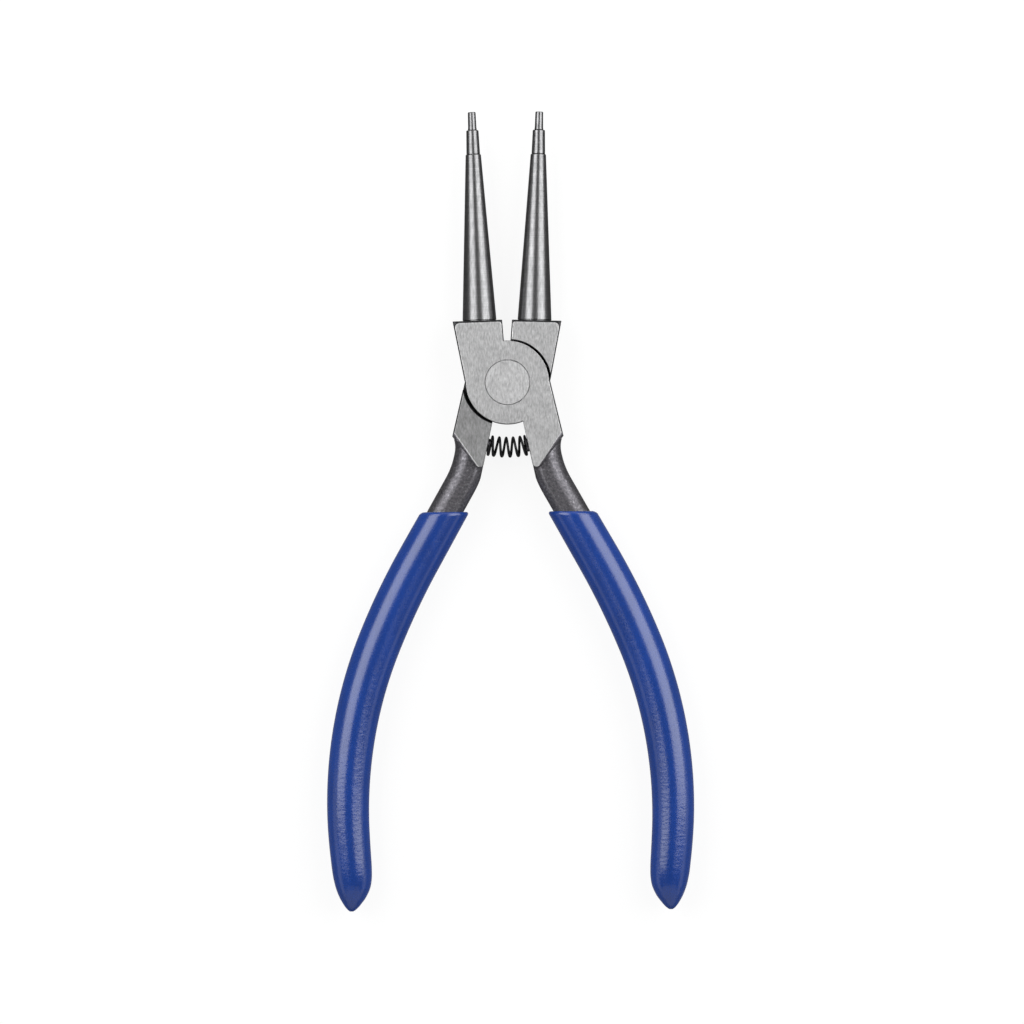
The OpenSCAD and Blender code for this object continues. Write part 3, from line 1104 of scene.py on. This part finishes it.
def forged_finish(name, base):
    """Dark forging scale with pits and worn specks."""
    finish = Finish(name, Metallic=0.85)
    specks = finish.noise((1900, 1900, 1900), detail=4.0, roughness=0.7)
    waves = finish.noise((380, 260, 380))
    wavy = finish.bump(waves, strength=0.20, distance=0.08 * MM)
    tones = ((0.32, 0.50), (0.50, 0.92), (0.61, 1.30), (0.70, 2.6))
    return finish.done(
        finish.tones(specks, base, *tones),
        finish.spread(specks, 0.48, 0.38),
        finish.bump(specks, strength=0.45, distance=0.04 * MM, under=wavy),
    )


def vinyl_finish(name, base):
    """Glossy dipped vinyl with an orange peel that grows towards the end."""
    finish = Finish(name, Metallic=0.0, IOR=1.58, Coat_Weight=0.35, Coat_Roughness=0.22)
    finish.set(Sheen_Weight=0.3, Sheen_Roughness=0.25, Sheen_Tint=(0.8, 0.87, 1.0, 1))
    peel = finish.noise((800, 1450, 800), detail=1.0)
    runs = finish.noise((260, 90, 260), detail=2.0)
    soft = finish.bump(runs, strength=0.20, distance=0.10 * MM)
    growth = finish.spread(finish.along(), 1.0, 0.3, PEEL_FULL, PEEL_START)
    grown = finish.times(peel, growth)
    return finish.done(
        finish.tones(runs, base, (0.3, 0.90), (0.5, 1.0), (0.72, 1.10)),
        finish.spread(peel, 0.28, 0.24),
        finish.bump(grown, strength=1.0, distance=0.06 * MM, under=soft),
    )


def wire_finish(name, base):
    """Blackened spring wire with faint specks."""
    finish = Finish(name, Metallic=0.7)
    specks = finish.noise((3000, 3000, 3000))
    return finish.done(
        finish.tones(specks, base, (0.3, 0.6), (0.55, 1.0), (0.8, 2.2)),
        finish.spread(specks, 0.46, 0.34),
        finish.bump(specks, strength=0.2, distance=0.01 * MM),
    )


class PLIERS_OT_levers(Operator):
    """Forge both levers: ground head, turned jaw and dark shank in one piece each"""

    bl_idname = "pliers.levers"
    bl_label = "Forge the Levers"

    def execute(self, context):
        pliers = context.scene.pliers
        colours = pliers.finish
        finishes = (
            ground_finish("ground_steel", colours.ground_steel, 0.44, 0.54, 0.90),
            ground_finish("back_root_ground_steel", colours.back_root_steel, 0.50, 0.62, 0.72),
            turned_finish("turned_steel", colours.turned_steel),
            forged_finish("forged_steel", colours.forged_steel),
            # Near-black scale on the edges, also painted shade on the recesses' walls
            forged_finish("dark_scale_and_recess_shade", colours.scale),
        )
        front = lever_mesh(pliers)
        rear = turned_over(front, pliers.head.thickness)
        for mesh, side in ((front, "front"), (rear, "rear")):
            name, nodes = f"{side}_forging", [f"{side}_lever"]
            place_piece(mesh, name, side, nodes, finishes)
        return {"FINISHED"}


class PLIERS_OT_rivet(Operator):
    """Set the flush rivet in the lap"""

    bl_idname = "pliers.rivet"
    bl_label = "Set the Rivet"

    def execute(self, context):
        pliers = context.scene.pliers
        bright = tinted(pliers.finish.ground_steel, 1.18)
        finish = ground_finish("rivet_steel", bright, 0.42, 0.52, 0.92)
        mesh = rivet_mesh(pliers.head, pliers.rivet)
        nodes = ["pivot_rivet"]
        place_piece(mesh, "flush_rivet", "front", nodes, [finish])
        return {"FINISHED"}


class PLIERS_OT_spring(Operator):
    """Wind the return spring and finish the two pegs that hold it"""

    bl_idname = "pliers.spring"
    bl_label = "Wind the Spring"

    def execute(self, context):
        pliers = context.scene.pliers
        mesh = spring_mesh(pliers.head, pliers.spring)
        finish = wire_finish("black_wire", pliers.finish.wire)
        spring = place_piece(mesh, "coil_spring", None, ["return_spring"], [finish])
        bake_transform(spring)
        peg_finish = turned_finish("peg_steel", pliers.finish.forged_steel)
        for peg in ("right_peg", "left_peg"):
            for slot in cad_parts[peg].material_slots:
                slot.material = peg_finish
        return {"FINISHED"}


class PLIERS_OT_grips(Operator):
    """Dip the two grips"""

    bl_idname = "pliers.grips"
    bl_label = "Dip the Grips"

    def execute(self, context):
        pliers = context.scene.pliers
        finish = vinyl_finish("blue_vinyl", pliers.finish.vinyl)
        right = grip_mesh(pliers.head, pliers.handle, pliers.grip)
        left = turned_over(right, pliers.head.thickness)
        for mesh, side, body in ((right, "right", "front"), (left, "left", "rear")):
            name, nodes = f"{side}_dipped_grip", [f"{side}_grip"]
            place_piece(mesh, name, body, nodes, [finish])
        return {"FINISHED"}


class PLIERS_OT_stage(Operator):
    """Lay the pale floor, hang the softboxes and screens, and set the camera square above"""

    bl_idname = "pliers.stage"
    bl_label = "Set the Stage"

    def execute(self, context):
        pliers = context.scene.pliers
        stage, scene = pliers.stage, context.scene
        middle = Vector((stage.view_x, stage.view_y, pliers.head.thickness / 2))
        self.lay_floor(scene, stage, pliers.finish.floor)
        self.hang_softboxes(scene, stage, middle)
        self.hang_screens(scene, stage)
        self.light_room(scene, stage)
        self.set_camera(scene, stage, middle)
        scene.view_settings.view_transform = "Standard"
        return {"FINISHED"}

    def lay_floor(self, scene, stage, tint):
        bm = bmesh.new()
        half = stage.floor_size / 2
        bmesh.ops.create_grid(bm, x_segments=1, y_segments=1, size=half)
        mesh = to_mesh(bm, "floor")
        finish = Finish("pale_floor", Base_Color=(*tint, 1), Roughness=0.9)
        finish.set(Emission_Color=(1, 1, 1, 1), Emission_Strength=stage.floor_glow)
        mesh.materials[0] = finish.material
        floor = bpy.data.objects.new("floor", mesh)
        floor.visible_glossy = False
        scene.collection.objects.link(floor)

    def hang_softboxes(self, scene, stage, middle):
        radiance = stage.softbox_radiance
        above = moved(middle.x, middle.y + stage.softbox_shift, middle.z)
        for width, tilt in (
            (stage.left_width, -stage.left_tilt),
            (stage.right_width, stage.right_tilt),
        ):
            sides = (width, stage.softbox_length)
            place = above @ rotated(tilt, "Y") @ moved(0, 0, stage.softbox_distance)
            self.hang_light(scene, "softbox", sides, radiance, place)

    def hang_screens(self, scene, stage):
        along, height = stage.screen_middle, stage.screen_height
        for side in (-1, 1):
            sides = (height, stage.screen_length)
            place = moved(side * stage.screen_distance, along, height / 2)
            place = place @ rotated(side * QUARTER, "Y")
            self.hang_light(scene, "screen", sides, stage.screen_radiance, place)
        for end, height, radiance in (
            (1, stage.tip_height, stage.tip_radiance),
            (-1, stage.butt_height, stage.butt_radiance),
        ):
            sides = (stage.end_length, height)
            place = moved(0, stage.view_y + end * stage.end_distance, height / 2)
            place = place @ rotated(-end * QUARTER, "X")
            self.hang_light(scene, "end_screen", sides, radiance, place)

    def hang_light(self, scene, name, sides, radiance, place):
        light = bpy.data.lights.new(name, "AREA")
        light.shape = "RECTANGLE"
        light.size, light.size_y = sides
        light.energy = radiance * sides[0] * sides[1] * math.pi
        lamp = bpy.data.objects.new(name, light)
        lamp.matrix_world = place
        lamp.visible_camera = False
        scene.collection.objects.link(lamp)

    def light_room(self, scene, stage):
        world = bpy.data.worlds.new("room")
        world.use_nodes = True
        background = world.node_tree.nodes["Background"]
        background.inputs["Color"].default_value = (1, 1, 1, 1)
        background.inputs["Strength"].default_value = stage.room
        scene.world = world

    def set_camera(self, scene, stage, middle):
        data = bpy.data.cameras.new("camera")
        data.sensor_width = FRAME_WIDTH
        data.lens = stage.lens
        data.clip_start = NEAREST
        camera = bpy.data.objects.new("camera", data)
        camera.location = middle + Vector((0, 0, stage.height))
        camera.rotation_euler = (0, 0, -stage.roll)
        scene.collection.objects.link(camera)
        scene.camera = camera


class PLIERS_PT_sidebar(Panel):
    """The pliers' sizes, finishes and makers"""

    bl_label = "Circlip Pliers"
    bl_space_type = "VIEW_3D"
    bl_region_type = "UI"
    bl_category = "Pliers"

    def draw(self, context):
        pliers = context.scene.pliers
        for group in PliersSettings.__annotations__:
            box = self.layout.box()
            box.label(text=group.capitalize())
            sizes = getattr(pliers, group)
            for name in sizes.__annotations__:
                box.prop(sizes, name)
        for maker in MAKERS:
            self.layout.operator(maker.bl_idname)


GROUPS = (
    HeadSizes,
    JawSizes,
    RivetSizes,
    SpringSizes,
    HandleSizes,
    GripSizes,
    Finishes,
    StageSizes,
    PliersSettings,
)
MAKERS = (PLIERS_OT_levers, PLIERS_OT_rivet, PLIERS_OT_spring, PLIERS_OT_grips, PLIERS_OT_stage)
CLASSES = (*GROUPS, *MAKERS, PLIERS_PT_sidebar)


def register():
    for cls in CLASSES:
        bpy.utils.register_class(cls)
    bpy.types.Scene.pliers = PointerProperty(type=PliersSettings)


def unregister():
    del bpy.types.Scene.pliers
    for cls in reversed(CLASSES):
        bpy.utils.unregister_class(cls)


def main():
    register()
    bpy.ops.pliers.levers()
    bpy.ops.pliers.rivet()
    bpy.ops.pliers.spring()
    bpy.ops.pliers.grips()
    bpy.ops.pliers.stage()


if __name__ == "__main__":
    main()
